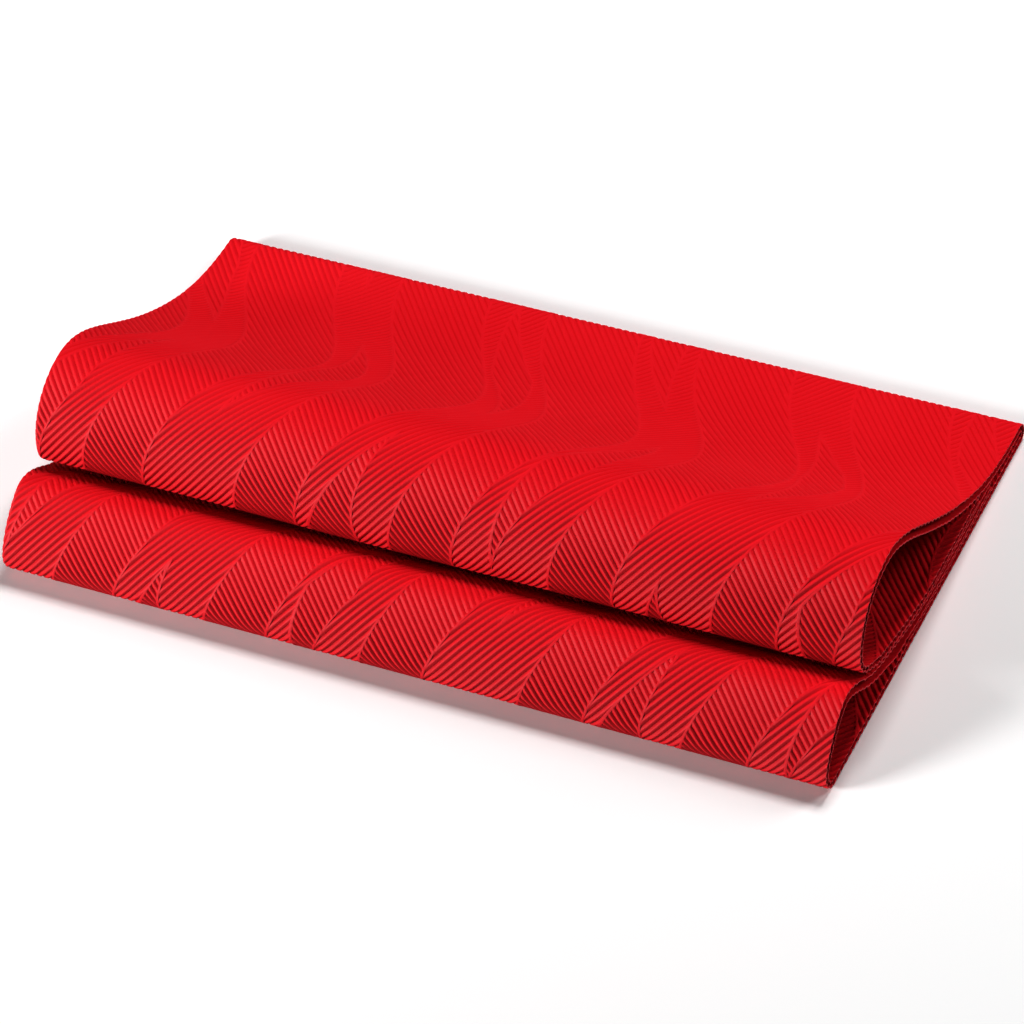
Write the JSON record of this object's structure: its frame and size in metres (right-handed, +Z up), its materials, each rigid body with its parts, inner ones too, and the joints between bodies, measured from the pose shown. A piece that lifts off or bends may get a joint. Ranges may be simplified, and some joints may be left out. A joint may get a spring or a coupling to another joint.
{
  "type": "folded paper napkin",
  "caption": "Large embossed red paper napkin in its book fold, lying flat with an open upper and lower roll at the front; it is laid at a place setting.",
  "frame": {"origin": "under the middle of the napkin, on the surface that it lies on", "axes": "+X along the napkin from the folded end to the cut end, +Y from the rolls at the front to the spine at the back, +Z up"},
  "size_m": [0.24, 0.1356, 0.0413],
  "materials": {
    "paper": "matt, dyed in the mass and embossed with fine ribs"
  },
  "bodies": {
    "root": {"napkin": "paper"}
  },
  "joints": []
}
